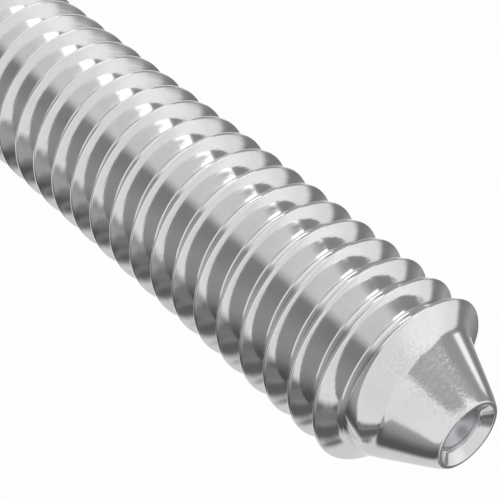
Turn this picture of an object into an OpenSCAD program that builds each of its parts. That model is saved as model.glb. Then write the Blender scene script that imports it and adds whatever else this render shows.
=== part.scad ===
// Grub set screw: a headless screw, threaded over its whole length, that stands on its
// socket end with its cup point up. One turned piece with a rolled right-hand thread.
// Millimetres, +Z up, origin at the middle of the flat socket end.

/* [Body] */
// Whole length, from the flat socket end to the rim of the cup
screw_l = 20; // [12:0.5:30]
// Diameter of the flat ring on the socket end
end_face_d = 3.1; // [2.9:0.05:3.3]
// Slope of the chamfer round the socket end, measured from the end face
end_chamfer_angle = 45; // [35:5:55]

/* [Thread] */
// Diameter over the thread crests
thread_d = 3.84; // [3.7:0.02:4.2]
// Distance from one turn to the next
pitch = 0.7; // [0.6:0.05:0.8]
// Angle between the two flanks of the groove
flank_angle = 60; // [56:1:70]
// Width of the flat on top of a crest
crest_w = 0.088; // [0.06:0.004:0.12]
// Radius of the rounded bottom of the groove
root_r = 0.1; // [0.07:0.01:0.12]
// Part of a turn over which the last ridge fades out, in degrees
fade_turn = 90; // [60:5:150]
// Direction in which the ridge has faded out, in degrees from +X
fade_direction = 160; // [0:10:350]
// Height of the faded ridge's middle line above the foot of the cone
fade_rise = 0.1; // [0.05:0.01:0.2]
// Widest flat top of the fading ridge
fade_top_w = 0.32; // [0.2:0.02:0.36]

/* [Cone and cup point] */
// Angle between opposite sides of the cone
cone_angle = 54; // [46:1:64]
// Diameter of the cone at the level of the cup's rim, before rounding
nose_d = 1.56; // [1.5:0.02:1.8]
// Rounding between the cone and the rim
nose_round = 0.13; // [0.05:0.01:0.14]
// Diameter of the cup's mouth
cup_d = 1.36; // [1.2:0.02:1.36]
// Diameter of the cup at the foot of its wall
cup_foot_d = 1.16; // [0.9:0.02:1.18]
// Depth of the cup's wall
cup_wall_depth = 0.35; // [0.2:0.05:0.5]
// Angle of the drilled bottom of the cup
cup_bottom_angle = 120; // [100:5:150]

/* [Hexagon socket] */
// Distance across the flats of the hexagon
socket_af = 2; // [1.6:0.05:2.1]
// Depth of the flats
socket_depth = 2.5; // [1.5:0.1:4]
// Angle of the drilled bottom of the socket
socket_bottom_angle = 120; // [100:5:150]
// Diameter of the bevel round the socket's mouth
socket_mouth_d = 2.5; // [2.45:0.01:2.6]
// Angle of that bevel
socket_mouth_angle = 120; // [90:10:140]

/* [Hidden] */
steel_colour = [0.76, 0.77, 0.79];
round_faces = 96;
// Straight steps that stand for one turn of the thread
turn_steps = 36;
step_angle = 360 / turn_steps;
// How far a cutting shape reaches past what it cuts
overshoot = 0.5;
// The cone's foot stands this much proud of the groove bottom
foot_lip = 0.01;
// How far the hidden end of the thread lies under the cone
cone_cover = 0.02;

// Groove section
crest_radius = thread_d / 2;
half_flank = flank_angle / 2;
half_groove = (pitch - crest_w) / 2;
root_half_w = root_r * cos(half_flank);
root_rise = root_r * (1 - sin(half_flank));
thread_depth = root_rise + (half_groove - root_half_w) / tan(half_flank);
groove_radius = crest_radius - thread_depth;

// Corners of one pitch of the thread, from groove bottom to groove bottom
last_place = 5;
head_edge = 2;
point_edge = 3;

// Cone
half_cone = cone_angle / 2;
foot_radius = groove_radius + foot_lip;
nose_radius = nose_d / 2;
cone_foot_z = screw_l - (foot_radius - nose_radius) / tan(half_cone);
function cone_radius(z) = nose_radius + (screw_l - z) * tan(half_cone);

// Middle line of the ridge: its height at an angle, where 0 is the faded end
function ridge_z(angle) = cone_foot_z + fade_rise + pitch * angle / 360;
// How far the ridge has faded at an angle: 0 for a whole ridge, 1 for none
function fade(angle) = min(1, max(0, (angle + fade_turn) / fade_turn));
// Radius of the ridge's top, cut down smoothly to the groove bottom as it fades
function top_radius(angle) = crest_radius - thread_depth * pow(fade(angle), 2);
// A ridge that is cut down is wider at its top, because its flanks slope
function half_top(angle) =
    min(fade_top_w / 2, crest_w / 2 + (crest_radius - top_radius(angle)) * tan(half_flank));

// Height of each corner over the ridge's middle line
function corner_z(place, angle) =
    place == 0 ? -pitch / 2
    : place == 1 ? -pitch / 2 + root_half_w
    : place == head_edge ? -half_top(angle)
    : place == point_edge ? half_top(angle)
    : place == 4 ? pitch / 2 - root_half_w
    : pitch / 2;
// Radius of each corner where no cone is near
function corner_radius(place, angle) =
    let (foot = place == 0 || place == last_place ? groove_radius : groove_radius + root_rise)
    place == head_edge || place == point_edge ? top_radius(angle) : min(foot, top_radius(angle));
// Above the cone's foot only the ridge's top stands proud, less and less as it fades
function skin_radius(place, angle, z) =
    let (open_radius = corner_radius(place, angle))
    let (covered_radius = cone_radius(z) - cone_cover)
    let (proud = place == head_edge || place == point_edge ? crest_radius * (1 - fade(angle)) : 0)
    z < cone_foot_z ? open_radius : min(open_radius, covered_radius + proud);

// The ridge line runs on under the cone until its whole end is covered, and starts
// below the end face, where the end face and its chamfer cut it
last_angle = step_angle * ceil(360 * (0.5 + (foot_lip - fade_rise) / pitch) / step_angle);
start_drop = ridge_z(last_angle) + pitch;
step_count = ceil(start_drop / pitch * turn_steps);
first_angle = last_angle - step_count * step_angle;

function skin_point(step, place) =
    let (angle = first_angle + step * step_angle)
    let (z = ridge_z(angle) + corner_z(place, angle))
    let (radius = skin_radius(place, angle, z))
    [radius * cos(angle), radius * sin(angle), z];

// The last point of one turn's section is the first point of the next turn's
grid_size = (step_count + 1) * last_place;
function skin_id(step, place) =
    place < last_place ? step * last_place + place
    : step + turn_steps <= step_count ? (step + turn_steps) * last_place
    : grid_size + step + turn_steps - step_count - 1;
bottom_id = grid_size + turn_steps;
top_id = bottom_id + 1;

module thread_body() {
    points = concat(
        [for (step = [0:step_count], place = [0:last_place - 1]) skin_point(step, place)],
        [for (step = [step_count - turn_steps + 1:step_count]) skin_point(step, last_place)],
        [[0, 0, ridge_z(first_angle) - pitch], [0, 0, ridge_z(last_angle) + pitch / 2]]
    );
    skin = [
        for (step = [0:step_count - 1], place = [0:last_place - 1])
            let (a = skin_id(step, place), b = skin_id(step + 1, place))
            let (c = skin_id(step + 1, place + 1), d = skin_id(step, place + 1))
            each [[a, d, c], [a, c, b]]
    ];
    bottom_cap = concat(
        [for (step = [0:turn_steps - 1]) [skin_id(step, 0), skin_id(step + 1, 0), bottom_id]],
        [for (place = [0:last_place - 1]) [skin_id(0, place + 1), skin_id(0, place), bottom_id]]
    );
    top_cap = concat(
        [for (step = [step_count - turn_steps:step_count - 1])
            [skin_id(step + 1, last_place), skin_id(step, last_place), top_id]],
        [for (place = [0:last_place - 1])
            [skin_id(step_count, place), skin_id(step_count, place + 1), top_id]]
    );
    rotate([0, 0, fade_direction])
        polyhedron(points = points, faces = concat(skin, bottom_cap, top_cap), convexity = 10);
}

// The space inside the end face and its chamfer
module chamfered_end() {
    wide_radius = crest_radius + overshoot;
    chamfer_h = (wide_radius - end_face_d / 2) * tan(end_chamfer_angle);
    rotate_extrude($fn = round_faces)
        polygon([
            [0, 0],
            [end_face_d / 2, 0],
            [wide_radius, chamfer_h],
            [wide_radius, screw_l],
            [0, screw_l]
        ]);
}

module point_cone() {
    corner_turn = (90 - half_cone) / 2;
    arc_radius_place = nose_radius - nose_round * tan(corner_turn);
    arc_steps = 6;
    nose_arc = [
        for (step = [0:arc_steps])
            let (angle = half_cone + (90 - half_cone) * step / arc_steps)
            [arc_radius_place + nose_round * cos(angle),
             screw_l - nose_round + nose_round * sin(angle)]
    ];
    rotate_extrude($fn = round_faces)
        polygon(concat([[0, cone_foot_z], [foot_radius, cone_foot_z]], nose_arc, [[0, screw_l]]));
}

module cup() {
    bottom_h = cup_foot_d / 2 / tan(cup_bottom_angle / 2);
    wall_foot_z = screw_l - cup_wall_depth;
    wall_slope = (cup_d - cup_foot_d) / 2 / cup_wall_depth;
    rotate_extrude($fn = round_faces)
        polygon([
            [0, wall_foot_z - bottom_h],
            [cup_foot_d / 2, wall_foot_z],
            [cup_d / 2 + wall_slope * overshoot, screw_l + overshoot],
            [0, screw_l + overshoot]
        ]);
}

module hexagon_socket() {
    corner_d = socket_af / cos(30);
    bottom_h = socket_af / 2 / tan(socket_bottom_angle / 2);
    mouth_slope = tan(socket_mouth_angle / 2);
    mouth_h = (socket_mouth_d / 2 + overshoot * mouth_slope) / mouth_slope;
    translate([0, 0, -overshoot])
        cylinder(h = socket_depth + overshoot, d = corner_d, $fn = 6);
    translate([0, 0, socket_depth])
        cylinder(h = bottom_h, d1 = socket_af, d2 = 0, $fn = round_faces);
    translate([0, 0, -overshoot])
        cylinder(h = mouth_h, r1 = mouth_h * mouth_slope, r2 = 0, $fn = round_faces);
}

module set_screw() {
    color(steel_colour)
        difference() {
            union() {
                intersection() {
                    thread_body();
                    chamfered_end();
                }
                point_cone();
            }
            cup();
            hexagon_socket();
        }
}

set_screw();
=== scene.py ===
"""Grub set screw: its finished surface, the photograph's camera, a white floor and a studio."""

import math

import bpy
from mathutils import Matrix, Vector


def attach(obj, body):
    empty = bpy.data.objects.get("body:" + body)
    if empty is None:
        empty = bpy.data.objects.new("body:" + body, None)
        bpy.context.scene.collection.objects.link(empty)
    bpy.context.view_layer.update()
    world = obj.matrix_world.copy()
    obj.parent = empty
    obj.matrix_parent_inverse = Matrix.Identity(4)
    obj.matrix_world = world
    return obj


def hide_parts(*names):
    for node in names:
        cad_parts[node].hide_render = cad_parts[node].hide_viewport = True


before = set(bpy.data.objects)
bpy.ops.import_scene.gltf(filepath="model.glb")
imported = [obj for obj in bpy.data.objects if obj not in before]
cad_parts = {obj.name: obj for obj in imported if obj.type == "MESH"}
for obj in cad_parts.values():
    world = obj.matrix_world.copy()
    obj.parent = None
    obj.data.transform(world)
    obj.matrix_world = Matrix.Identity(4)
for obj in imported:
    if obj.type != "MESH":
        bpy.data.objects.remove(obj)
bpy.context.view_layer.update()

MM = 0.001

# Sizes in millimetres. They are the part's, except that HALF_CREST, FADE_RISE and CUP_RADIUS
# follow the photo more closely, by up to 0.025 mm
SCREW_LENGTH = 20.0
END_FACE_RADIUS = 1.55
END_CHAMFER_SLOPE = math.tan(math.radians(45))
CREST_RADIUS = 1.92
GROOVE_RADIUS = 1.49
PITCH = 0.7
HALF_CREST = 0.026
FLANK_SLOPE = 1 / math.tan(math.radians(30))
FADE_TURN = 90.0
FADE_DIRECTION = math.radians(160)
FADE_RISE = 0.118
HALF_FADED_TOP = 0.16
CONE_SLOPE = math.tan(math.radians(27))
FOOT_LIP = 0.01
NOSE_RADIUS = 0.78
CUP_RADIUS = 0.655
SOCKET_ACROSS_FLATS = 2.0
SOCKET_DEPTH = 2.5
SOCKET_MOUTH_RADIUS = 1.25
# Slope of the drilled bottoms of the cup and the socket: height over radius
DRILL_SLOPE = 1 / math.tan(math.radians(60))
CONE_FOOT = SCREW_LENGTH - (GROOVE_RADIUS + FOOT_LIP - NOSE_RADIUS) / CONE_SLOPE

# Finer forms than the part's: rounded crest edges, groove bottoms and fillets
CREST_EDGE = 0.014
HEAD_ROOT_BLEND = 0.037
POINT_ROOT_BLEND = 0.025
FOOT_BLEND = 0.012
CONE_BLEND = 0.022
NOSE_BLEND = 0.065
RIM_BLEND = 0.009
# Above this height the blends at the nose bend the cone
NOSE_START = SCREW_LENGTH - 0.8
# Height at which the thread's grid ends and the nose's rings start
NOSE_RING = SCREW_LENGTH - 0.2
SHOULDER_RADIUS = 0.77
SHOULDER_SLOPE = 0.9
# How far the faded end of the ridge sinks under the cone
FADE_SINK = 0.03
# Rounding of the cup's mouth: its radius, how far round it goes in degrees, and its steps
MOUTH_ROUND = 0.02
MOUTH_TURN = 38
MOUTH_STEPS = 5
NOSE_STEPS = 16
# Radius and depth down the cup's wall, which ends in two small steps
CUP_WALL = [(0.62, 0.038), (0.56, 0.084), (0.5, 0.131), (0.472, 0.153), (0.464, 0.164),
            (0.462, 0.178), (0.456, 0.188), (0.444, 0.197), (0.438, 0.207), (0.436, 0.224),
            (0.43, 0.239), (0.414, 0.251)]
# Rings on the cup's floor, as shares of its radius
CUP_FLOOR_RINGS = (0.9, 0.75, 0.55, 0.35, 0.2, 0.05)
TURN_STEPS = 108
CUTTER_SIDES = 96

# Heights of the surface's fine bumps, in millimetres
PEBBLE_HEIGHT_THREAD = 0.0003
PEBBLE_HEIGHT_CONE = 0.004
RING_HEIGHT = 0.0008
# How close the rings lie along the radius, and how much they wander along X and Y
RING_SCALE = 28.0
RING_WANDER = 0.9
# Direction of the cone's pebbled side, in degrees from +X
PEBBLE_SIDE = 68

# Grey levels of the plating, from its clear patches to its clouded ones, and on the crests
CLEAR_TONE = 0.735
CLOUD_TONE = 0.765
CREST_TONE = 0.79
# Change of level in the dark specks, and between the pebbles' lows and highs
SPECK_CHANGE = -0.05
PEBBLE_CHANGE = 0.3
# Added to blue, for a cold tint
BLUE_TINT = 0.004
DULL_BLUE_TINT = 0.03
SMOOTHEST = 0.085
ROUGHEST = 0.13

# The cup's floor, darkened as painted shade in the hollow: middle of its darkest spot in
# millimetres, and its levels at that spot and off it
CUP_SHADE_SPOT = (-0.02, -0.34, 0)
SHADE_SPOT_TONE = 0.3
CUP_FLOOR_SHADE_TONE = 0.5
DULL_ROUGHNESS = 0.4
# Share of the cup floor's dullness and painted shade that the socket has
SOCKET_DULL_AND_SHADE_SHARE = 0.3


def smooth_step(value, start, end):
    """0 before start, 1 after end, and a smooth climb between them."""
    share = min(1.0, max(0.0, (value - start) / (end - start)))
    return share * share * (3 - 2 * share)


def rounded_ramp(distance, width):
    """0 on the flat side of a corner, the distance past it on the other, rounded over the width."""
    if distance <= -width:
        return 0.0
    if distance >= width:
        return distance
    return (distance + width) ** 2 / (4 * width)


def soft_largest(values, blend):
    """The largest of the values, with a fillet where two of them meet."""
    top = max(values)
    return top + blend * math.log(sum(math.exp((value - top) / blend) for value in values))


def soft_smallest(values, blend):
    """The smallest of the values, with a rounding where two of them meet."""
    return -soft_largest([-value for value in values], blend)


def ridge_height(angle):
    """Height of the ridge's middle line; angle 0 is its faded end, in degrees."""
    return CONE_FOOT + FADE_RISE + PITCH * angle / 360


def nose_height(radius):
    """Height of the point at a radius: its cone, a flatter shoulder and the level rim, blended."""
    cone = SCREW_LENGTH + (NOSE_RADIUS - radius) / CONE_SLOPE
    shoulder = SCREW_LENGTH + (SHOULDER_RADIUS - radius) * SHOULDER_SLOPE
    return soft_smallest([soft_smallest([cone, shoulder], NOSE_BLEND), SCREW_LENGTH], RIM_BLEND)


def cone_radius(z):
    """Radius of the point at a height; the blended nose is solved by halving the interval."""
    plain = NOSE_RADIUS + (SCREW_LENGTH - z) * CONE_SLOPE
    if z < NOSE_START:
        return plain
    inner, outer = CUP_RADIUS, plain
    halvings = 24
    for halving in range(halvings):
        middle = (inner + outer) / 2
        if nose_height(middle) > z:
            inner = middle
        else:
            outer = middle
    return outer


def core_radius(z):
    """The screw without its ridge: the groove bottom, then the cone."""
    return soft_smallest([GROOVE_RADIUS, cone_radius(z)], FOOT_BLEND)


def fade(angle):
    """How far the ridge has faded: 0 for a whole ridge, 1 for none."""
    return min(1.0, max(0.0, (angle + FADE_TURN) / FADE_TURN))


def crest_line(angle):
    """Radius and half width of the ridge's top, which sinks into the cone as it fades."""
    whole_drop = CREST_RADIUS - cone_radius(ridge_height(0)) + FADE_SINK
    radius = CREST_RADIUS - whole_drop * fade(angle) ** 2
    half_width = min(HALF_FADED_TOP, HALF_CREST + (CREST_RADIUS - radius) / FLANK_SLOPE)
    return radius, half_width


def ridge_radius(angle, z):
    """Radius of one turn of the ridge at a height, as if nothing lay between its flanks."""
    radius, half_width = crest_line(angle)
    past_edge = abs(z - ridge_height(angle)) - half_width
    return radius - FLANK_SLOPE * rounded_ramp(past_edge, CREST_EDGE)


def skin_radius(angle, z):
    """The finished surface: the core and the nearest turns of the ridge, blended."""
    turns = [angle - 360, angle, angle + 360]
    ridges = [ridge_radius(turn, z) for turn in turns if turn <= 0]
    # The root is rounder on the ridge's side towards the socket end
    side_change = 0.1
    point_side = smooth_step(z - ridge_height(angle), -side_change, side_change)
    root_blend = HEAD_ROOT_BLEND + (POINT_ROOT_BLEND - HEAD_ROOT_BLEND) * point_side
    # It turns into the cone's own blend from below the cone's foot to just above it
    change_start = CONE_FOOT - 0.3
    change_end = CONE_FOOT + 0.1
    near_cone = smooth_step(z, change_start, change_end)
    blend = root_blend + (CONE_BLEND - root_blend) * near_cone
    return soft_largest([core_radius(z)] + ridges, blend)


def section_places(angle):
    """Heights over the ridge's middle line, close together where the section bends."""
    half_width = crest_line(min(angle, 0))[1]
    edge_shares = (-1, -0.35, 0.35, 1)
    flank_shares = (0.23, 0.47, 0.6, 0.7, 0.8, 0.9, 1)
    edge = [half_width + CREST_EDGE * share for share in edge_shares]
    rest = PITCH / 2 - edge[-1]
    flank = [edge[-1] + rest * share for share in flank_shares]
    one_side = edge + flank
    return [-place for place in reversed(one_side)] + [0.0] + one_side


def round_point(radius, direction, z):
    """A point in metres from a radius and a height in millimetres and a direction in radians."""
    return (radius * math.cos(direction) * MM, radius * math.sin(direction) * MM, z * MM)


def thread_and_cone():
    """Points and faces of the threaded surface, as a grid that climbs with the ridge, up to a
    level ring on the cone. Returns the points, the faces and the ring's point numbers."""
    cells = len(section_places(0)) - 1
    last_step = TURN_STEPS
    first_step = -TURN_STEPS * math.ceil((ridge_height(0) + PITCH) / PITCH)
    steps = range(first_step, last_step + 1)
    points = []
    faces = []
    number = {}

    def add(step, place_number):
        angle = step * 360 / TURN_STEPS
        z = ridge_height(angle) + section_places(angle)[place_number]
        direction = FADE_DIRECTION + math.radians(angle)
        number[step, place_number] = len(points)
        points.append(round_point(skin_radius(angle, z), direction, z))

    for step in steps:
        own_places = cells + 1 if step + TURN_STEPS > last_step else cells
        for place_number in range(own_places):
            if place_number == cells and (step + TURN_STEPS, 0) in number:
                continue
            add(step, place_number)

    def at(step, place_number):
        if place_number == cells and (step, cells) not in number:
            return number[step + TURN_STEPS, 0]
        return number[step, place_number]

    for step in steps[:-1]:
        for cell in range(cells):
            near_side = (at(step, cell), at(step + 1, cell))
            far_side = (at(step + 1, cell + 1), at(step, cell + 1))
            faces.append(near_side + far_side)

    # The start lies below the socket end, where the end cut takes it off
    low_point = len(points)
    points.append((0, 0, (ridge_height(first_step * 360 / TURN_STEPS) - PITCH) * MM))
    for step in range(first_step, first_step + TURN_STEPS):
        faces.append((at(step + 1, 0), at(step, 0), low_point))
    for cell in range(cells):
        faces.append((at(first_step, cell), at(first_step, cell + 1), low_point))

    # A level ring closes the climbing edge of the grid on the cone
    ring = []
    for step in range(TURN_STEPS):
        ring.append(len(points))
        direction = FADE_DIRECTION + math.radians(step * 360 / TURN_STEPS)
        points.append(round_point(cone_radius(NOSE_RING), direction, NOSE_RING))
    end_edge = [at(last_step, cell) for cell in range(cells, 0, -1)]
    faces.append([at(0, cells), at(1, cells), ring[1], ring[0]] + end_edge)
    for step in range(1, TURN_STEPS):
        following = ring[(step + 1) % TURN_STEPS]
        faces.append((at(step, cells), at(step + 1, cells), following, ring[step]))
    return points, faces, ring


def nose_and_cup_profile():
    """Radius and height from the cone over the rounded rim into the cup."""
    profile = []
    outer_radius = cone_radius(NOSE_RING)
    rim_radius = CUP_RADIUS + MOUTH_ROUND
    for step in range(1, NOSE_STEPS + 1):
        radius = outer_radius + (rim_radius - outer_radius) * step / NOSE_STEPS
        profile.append((radius, nose_height(radius)))
    rim_z = profile[-1][1]
    for step in range(1, MOUTH_STEPS + 1):
        angle = math.radians(MOUTH_TURN * step / MOUTH_STEPS)
        radius = rim_radius - MOUTH_ROUND * math.sin(angle)
        profile.append((radius, rim_z - MOUTH_ROUND * (1 - math.cos(angle))))
    for radius, depth in CUP_WALL:
        profile.append((radius, SCREW_LENGTH - depth))
    floor_radius, floor_z = profile[-1]
    for share in CUP_FLOOR_RINGS:
        drop = floor_radius * (1 - share) * DRILL_SLOPE
        profile.append((floor_radius * share, floor_z - drop))
    return profile


def screw_mesh():
    """The screw as one closed mesh, with the socket end still to be cut."""
    points, faces, ring = thread_and_cone()
    for radius, z in nose_and_cup_profile():
        following = []
        for step in range(TURN_STEPS):
            following.append(len(points))
            direction = FADE_DIRECTION + math.radians(step * 360 / TURN_STEPS)
            points.append(round_point(radius, direction, z))
        for step in range(TURN_STEPS):
            after = (step + 1) % TURN_STEPS
            faces.append((ring[step], ring[after], following[after], following[step]))
        ring = following
    faces.append(ring)
    mesh = bpy.data.meshes.new("set_screw_body")
    mesh.from_pydata(points, [], faces)
    mesh.validate()
    return mesh


def turned_mesh(name, profile, sides):
    """A closed solid of revolution; the profile starts and ends on the axis."""
    points = [(0, 0, profile[0][1] * MM)]
    faces = []
    rings = []
    for radius, z in profile[1:-1]:
        rings.append([len(points) + side for side in range(sides)])
        points += [round_point(radius, 2 * math.pi * side / sides, z) for side in range(sides)]
    points.append((0, 0, profile[-1][1] * MM))
    for side in range(sides):
        after = (side + 1) % sides
        faces.append((0, rings[0][after], rings[0][side]))
        for lower, upper in zip(rings, rings[1:]):
            faces.append((lower[side], lower[after], upper[after], upper[side]))
        faces.append((rings[-1][side], rings[-1][after], len(points) - 1))
    mesh = bpy.data.meshes.new(name)
    mesh.from_pydata(points, [], faces)
    return mesh


def cut_away(body, cutter_mesh):
    """Cut a solid out of the body and apply the cut to its mesh."""
    cutter = bpy.data.objects.new("cutter", cutter_mesh)
    bpy.context.scene.collection.objects.link(cutter)
    cut = body.modifiers.new("cut", "BOOLEAN")
    cut.operation = "DIFFERENCE"
    cut.solver = "EXACT"
    cut.object = cutter
    evaluated = body.evaluated_get(bpy.context.evaluated_depsgraph_get())
    body.data = bpy.data.meshes.new_from_object(evaluated)
    body.modifiers.clear()
    bpy.data.objects.remove(cutter)


def shape_socket_end(body):
    """Cut the end face and its chamfer, the hexagon, its drilled bottom and its bevelled mouth."""
    outside = 3.0
    far_below = -4.0
    chamfer_top = (outside - END_FACE_RADIUS) * END_CHAMFER_SLOPE
    end_profile = [(0, far_below), (outside, far_below), (outside, chamfer_top),
                   (END_FACE_RADIUS, 0), (0, 0)]
    cut_away(body, turned_mesh("end_cut", end_profile, CUTTER_SIDES))

    half_flats = SOCKET_ACROSS_FLATS / 2
    corner = half_flats / math.cos(math.radians(30))
    below = -1
    hexagon_profile = [(0, below), (corner, below), (corner, SOCKET_DEPTH), (0, SOCKET_DEPTH)]
    cut_away(body, turned_mesh("hexagon_cut", hexagon_profile, 6))

    # The drill starts inside the hexagon and stays clear of its flats
    drill_start = 1
    drill_clearance = 0.01
    drill_radius = half_flats - drill_clearance
    drill_depth = SOCKET_DEPTH + half_flats * DRILL_SLOPE
    drill_profile = [(0, drill_start), (drill_radius, drill_start), (drill_radius, SOCKET_DEPTH),
                     (0, drill_depth)]
    cut_away(body, turned_mesh("drill_cut", drill_profile, CUTTER_SIDES))

    mouth_slope = math.tan(math.radians(60))
    overshoot = 0.5
    mouth_profile = [(0, -overshoot), (SOCKET_MOUTH_RADIUS + overshoot * mouth_slope, -overshoot),
                     (0, SOCKET_MOUTH_RADIUS / mouth_slope)]
    cut_away(body, turned_mesh("mouth_cut", mouth_profile, CUTTER_SIDES))


class Graph:
    """Adds nodes to a material or world; an input is a number, a colour or another node's output."""

    def __init__(self, owner):
        owner.use_nodes = True
        self.tree = owner.node_tree
        self.tree.nodes.clear()

    def add(self, kind, inputs=(), **settings):
        node = self.tree.nodes.new("ShaderNode" + kind)
        for name, value in settings.items():
            setattr(node, name, value)
        for name, value in dict(inputs).items():
            if isinstance(value, bpy.types.NodeSocket):
                self.tree.links.new(value, node.inputs[name])
            else:
                node.inputs[name].default_value = value
        return node

    def math(self, operation, first, second=0.0):
        return self.add("Math", {0: first, 1: second}, operation=operation).outputs[0]

    def vector(self, operation, first, second):
        """The vector that an operation makes from two vectors."""
        return self.add("VectorMath", {0: first, 1: second}, operation=operation).outputs["Vector"]

    def measure(self, operation, first, second=(0, 0, 0)):
        """The number that an operation makes from one vector or two."""
        return self.add("VectorMath", {0: first, 1: second}, operation=operation).outputs["Value"]

    def noise(self, place, scale, detail):
        """Noise about 0.5 at a place."""
        return self.add("TexNoise", {"Vector": place, "Scale": scale, "Detail": detail}).outputs[0]

    def climb(self, value, start, end):
        """0 before start, 1 after end, smooth between."""
        inputs = {"Value": value, "From Min": start, "From Max": end}
        return self.add("MapRange", inputs, interpolation_type="SMOOTHSTEP").outputs["Result"]

    def drop(self, value, start, end):
        """1 before start, 0 after end, smooth between."""
        return self.math("SUBTRACT", 1.0, self.climb(value, start, end))

    def blend(self, share, first, second):
        """From the first value to the second one as the share goes from 0 to 1."""
        return self.add("Mix", {0: share, 2: first, 3: second}, data_type="FLOAT").outputs[0]

    def ramp(self, value, stops):
        """A value that runs through (place, level) stops."""
        node = self.add("ValToRGB", {0: value})
        elements = node.color_ramp.elements
        while len(elements) < len(stops):
            elements.new(0.5)
        for element, (place, level) in zip(elements, stops):
            element.position = place
            element.color = (level, level, level, 1)
        return node.outputs[0]


def plated_steel():
    """Bright plating: fine rings from turning and rolling, a pebbled cone, and a dull cup floor with
    painted shade, darkest at one spot.
    """
    material = bpy.data.materials.new("zinc_plated_steel")
    graph = Graph(material)
    place = graph.add("TexCoord").outputs["Object"]
    place_mm = graph.vector("MULTIPLY", place, (1 / MM, 1 / MM, 1 / MM))
    part = graph.add("SeparateXYZ", {0: place_mm}).outputs
    across = graph.add("CombineXYZ", {0: part["X"], 1: part["Y"]}).outputs[0]
    radius = graph.measure("LENGTH", across)

    on_cone = graph.climb(part["Z"], CONE_FOOT - 0.1, CONE_FOOT + 0.25)
    # The cup's floor and the socket lie inside a radius, at their own end of the screw
    in_cup = graph.math("MULTIPLY", graph.climb(part["Z"], 18.5, 18.6),
                        graph.drop(radius, 0.44, 0.48))
    in_socket = graph.math("MULTIPLY", graph.drop(part["Z"], 4.0, 4.1),
                           graph.drop(radius, 1.15, 1.25))
    crest = graph.climb(radius, CREST_RADIUS - 0.03, CREST_RADIUS)

    # Rings follow the radius, so they run along the flanks and round the cone
    ring_place = graph.add("CombineXYZ", {
        0: graph.math("MULTIPLY", radius, RING_SCALE),
        1: graph.math("MULTIPLY", part["X"], RING_WANDER),
        2: graph.math("MULTIPLY", part["Y"], RING_WANDER),
    }).outputs[0]
    rings = graph.noise(ring_place, scale=1.0, detail=3.0)
    pebbles = graph.noise(place_mm, scale=17.0, detail=2.0)
    clouds = graph.noise(place_mm, scale=1.6, detail=3.0)
    specks = graph.noise(place_mm, scale=11.0, detail=4.0)

    # The pebbles are strongest on one side of the cone
    pebble_angle = math.radians(PEBBLE_SIDE)
    pebble_side = (math.cos(pebble_angle), math.sin(pebble_angle), 0)
    toward_side = graph.measure("DOT_PRODUCT", across, pebble_side)
    side_share = graph.climb(graph.math("DIVIDE", toward_side, radius), 0.82, 0.97)
    pebbled = graph.math("MULTIPLY", on_cone, side_share)
    pebble_height = graph.blend(pebbled, PEBBLE_HEIGHT_THREAD, PEBBLE_HEIGHT_CONE)
    height = graph.math("ADD", graph.math("MULTIPLY", pebbles, pebble_height),
                        graph.math("MULTIPLY", rings, RING_HEIGHT))
    bump = graph.add("Bump", {"Height": height, "Distance": MM, "Strength": 1.0}).outputs[0]

    cloud_tone = graph.blend(graph.climb(clouds, 0.35, 0.65), CLEAR_TONE, CLOUD_TONE)
    speck_tone = graph.math("MULTIPLY", graph.climb(specks, 0.62, 0.72), SPECK_CHANGE)
    pebble_tone = graph.math("MULTIPLY", graph.math("SUBTRACT", pebbles, 0.5),
                             graph.math("MULTIPLY", pebbled, PEBBLE_CHANGE))
    plain_tone = graph.math("ADD", graph.math("ADD", cloud_tone, speck_tone), pebble_tone)
    worn_tone = graph.blend(crest, plain_tone, CREST_TONE)
    # Painted shade: the cup's floor is darker, darkest at one spot, and the socket a little darker;
    # the same mask also makes them rougher
    off_shade_spot = graph.measure("DISTANCE", across, CUP_SHADE_SPOT)
    cup_shade_tone = graph.blend(graph.climb(off_shade_spot, 0.04, 0.19), SHADE_SPOT_TONE, CUP_FLOOR_SHADE_TONE)
    dull_and_shaded = graph.math("MAXIMUM", in_cup, graph.math("MULTIPLY", in_socket, SOCKET_DULL_AND_SHADE_SHARE))
    tone = graph.blend(dull_and_shaded, worn_tone, cup_shade_tone)
    blue = graph.math("ADD", tone, graph.blend(dull_and_shaded, BLUE_TINT, DULL_BLUE_TINT))
    colour = graph.add("CombineColor", {0: tone, 1: tone, 2: blue}).outputs[0]

    rough_thread = graph.blend(graph.climb(specks, 0.35, 0.7), SMOOTHEST, ROUGHEST)
    rough_plain = graph.blend(on_cone, rough_thread, ROUGHEST)
    roughness = graph.blend(dull_and_shaded, rough_plain, DULL_ROUGHNESS)
    shader = graph.add("BsdfPrincipled", {
        "Base Color": colour,
        "Metallic": 1.0,
        "Roughness": roughness,
        "Normal": bump,
    })
    graph.add("OutputMaterial", {"Surface": shader.outputs[0]})
    return material


def set_screw():
    """The finished screw, in place of the part's plain solid."""
    screw = bpy.data.objects.new("set_screw_body", screw_mesh())
    bpy.context.scene.collection.objects.link(screw)
    shape_socket_end(screw)
    screw.data.materials.clear()
    screw.data.materials.append(plated_steel())
    screw.data.polygons.foreach_set("use_smooth", [True] * len(screw.data.polygons))
    sharp_angle = math.radians(32)
    screw.data.set_sharp_from_angle(angle=sharp_angle)
    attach(screw, "root")
    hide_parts("set_screw")


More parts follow.
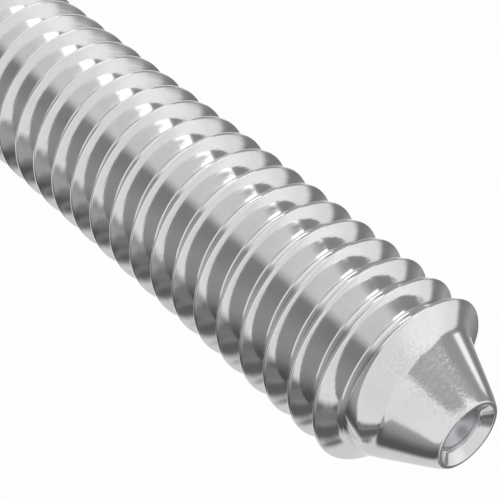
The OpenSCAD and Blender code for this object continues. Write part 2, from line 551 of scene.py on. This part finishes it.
def camera():
    """The photograph's camera, fitted to the outline of the thread, the cone and the cup's rim.
    It looks down on the cup point and is rolled to the photo's frame."""
    lens = bpy.data.cameras.new("camera")
    lens.lens = 110.169
    lens.sensor_width = 36
    lens.shift_x = -0.003144
    lens.shift_y = -0.008445
    lens.clip_start = 0.001
    view = bpy.data.objects.new("camera", lens)
    right = Vector((0.63185, -0.44545, 0.6343))
    up = Vector((0.77509, 0.36313, -0.51708))
    pose = Matrix((right, up, right.cross(up))).transposed().to_4x4()
    pose.translation = Vector((0.1827, 25.3692, 31.5245)) * MM
    view.matrix_world = pose
    bpy.context.scene.collection.objects.link(view)
    bpy.context.scene.camera = view


def floor():
    """One large white floor, in metres. The part of it that the camera frames shows white in the
    metal too. Past that part's edges, what the metal mirrors is the studio."""
    reach = 6.0
    framed_half_width = 0.014
    framed_front = 0.0025
    framed_back = -0.054
    paper_level = 0.9
    white_share = 0.96
    corners = [(-reach, -reach, 0), (reach, -reach, 0), (reach, reach, 0), (-reach, reach, 0)]
    mesh = bpy.data.meshes.new("floor")
    mesh.from_pydata(corners, [], [(0, 1, 2, 3)])
    plane = bpy.data.objects.new("floor", mesh)
    bpy.context.scene.collection.objects.link(plane)
    material = bpy.data.materials.new("floor_white")
    graph = Graph(material)
    ray = graph.add("LightPath").outputs
    paper_colour = (paper_level, paper_level, paper_level, 1)
    paper = graph.add("BsdfDiffuse", {"Color": paper_colour}).outputs[0]
    white = graph.add("Emission", {"Color": (1, 1, 1, 1), "Strength": 1.0}).outputs[0]
    clear = graph.add("BsdfTransparent").outputs[0]
    lit = graph.add("MixShader", {0: white_share, 1: paper, 2: white}).outputs[0]
    mirrored = graph.math("MAXIMUM", ray["Is Glossy Ray"], ray["Is Transmission Ray"])
    shown = graph.math("MAXIMUM", ray["Is Camera Ray"], mirrored)
    seen = graph.add("MixShader", {0: shown, 1: paper, 2: lit}).outputs[0]

    place = graph.add("SeparateXYZ", {0: graph.add("TexCoord").outputs["Object"]}).outputs
    beside = graph.math("GREATER_THAN", graph.math("ABSOLUTE", place["X"]), framed_half_width)
    in_front = graph.math("GREATER_THAN", place["Y"], framed_front)
    behind = graph.math("LESS_THAN", place["Y"], framed_back)
    past_edges = graph.math("MAXIMUM", beside, graph.math("MAXIMUM", in_front, behind))
    see_through = graph.math("MULTIPLY", mirrored, past_edges)
    surface = graph.add("MixShader", {0: see_through, 1: seen, 2: clear}).outputs[0]
    graph.add("OutputMaterial", {"Surface": surface})
    plane.data.materials.append(material)


def studio():
    """Walls from dark grey to white under a pale ceiling, with a glow, grey panels and softboxes."""
    world = bpy.data.worlds.new("studio")
    bpy.context.scene.world = world
    graph = Graph(world)
    direction = graph.add("TexCoord").outputs["Generated"]
    part = graph.add("SeparateXYZ", {0: direction}).outputs
    turn = graph.math("ARCTAN2", part["Y"], part["X"])
    azimuth = graph.math("FLOORED_MODULO", graph.math("DEGREES", turn), 360.0)
    elevation = graph.math("DEGREES", graph.math("ARCSINE", part["Z"]))

    # How bright the walls are and how high they reach, by direction in degrees from +X
    walls = [(0, 0.40), (12, 0.50), (27, 1.0), (74, 0.95), (88, 0.33), (104, 0.33), (135, 0.44),
             (158, 0.42), (172, 0.33), (182, 0.2), (192, 0.12), (207, 0.1), (219, 0.76),
             (268, 0.76), (277, 0.17), (292, 0.42), (299, 0.25), (307, 0.23), (320, 0.4),
             (336, 0.37), (354, 0.37), (360, 0.40)]
    wall_share = graph.math("DIVIDE", azimuth, 360.0)
    wall_light = graph.ramp(wall_share, [(place / 360, level) for place, level in walls])
    wall_tops = [(0, 24), (84, 18), (150, 18), (163, 26), (170, 60), (190, 57), (208, 56),
                 (220, 53), (242, 45), (262, 29), (280, 28), (292, 24), (306, 20), (316, 23),
                 (328, 32), (340, 34), (349, 28), (360, 24)]
    wall_top = graph.ramp(wall_share, [(place / 360, height / 90) for place, height in wall_tops])
    over_wall = graph.math("SUBTRACT", graph.math("DIVIDE", elevation, 90.0), wall_top)
    # The ceiling is a little darker straight above
    ceiling_side = 0.92
    ceiling_middle = 0.85
    ceiling = graph.blend(graph.climb(elevation, 50.0, 80.0), ceiling_side, ceiling_middle)
    edge_softness = 0.03
    light = graph.blend(graph.climb(over_wall, -edge_softness, edge_softness), wall_light, ceiling)

    # Left and right edge, lower and upper edge, softness of the edges, all in degrees, and level
    glow = [(272, 352, 36, 66, 9, 1.06), (-8, 24, 28, 50, 5, 1.04)]
    grey_panels = [(-12, 34, 14, 24, 3, 0.46), (28, 76, 14, 39, 5, 0.48),
                   (164, 198, 38, 56, 5, 0.42), (198, 236, 42, 52, 4, 0.22),
                   (211, 234, 28, 42, 4, 0.13), (230, 252, 21, 44, 3, 0.15),
                   (246, 276, 14, 29, 3, 0.18)]
    softboxes = [(5, 28, -9, 10, 2.5, 2.6), (27, 46, -8, 15, 4, 1.15), (318, 332, -9, 5, 4, 1.2),
                 (290, 314, -42, -20, 3, 1.3)]
    for left, right, low, high, soft, level in glow + grey_panels + softboxes:
        middle = (left + right) / 2
        # Wrapped to -180 to 180 degrees, so that a box may lie across direction 0
        off_middle = graph.math("WRAP", graph.math("SUBTRACT", azimuth, middle), 180.0)
        off_middle.node.inputs[2].default_value = -180.0
        half_width = (right - left) / 2
        aside = graph.math("ABSOLUTE", off_middle)
        within = graph.drop(aside, half_width - soft, half_width + soft)
        above = graph.climb(elevation, low - soft, low + soft)
        below = graph.drop(elevation, high - soft, high + soft)
        share = graph.math("MULTIPLY", within, graph.math("MULTIPLY", above, below))
        light = graph.blend(share, light, level)
    backdrop = graph.add("Background", {"Color": (1, 1, 1, 1), "Strength": light})
    graph.add("OutputWorld", {"Surface": backdrop.outputs[0]})


set_screw()
camera()
floor()
studio()
bpy.context.scene.view_settings.view_transform = "Standard"
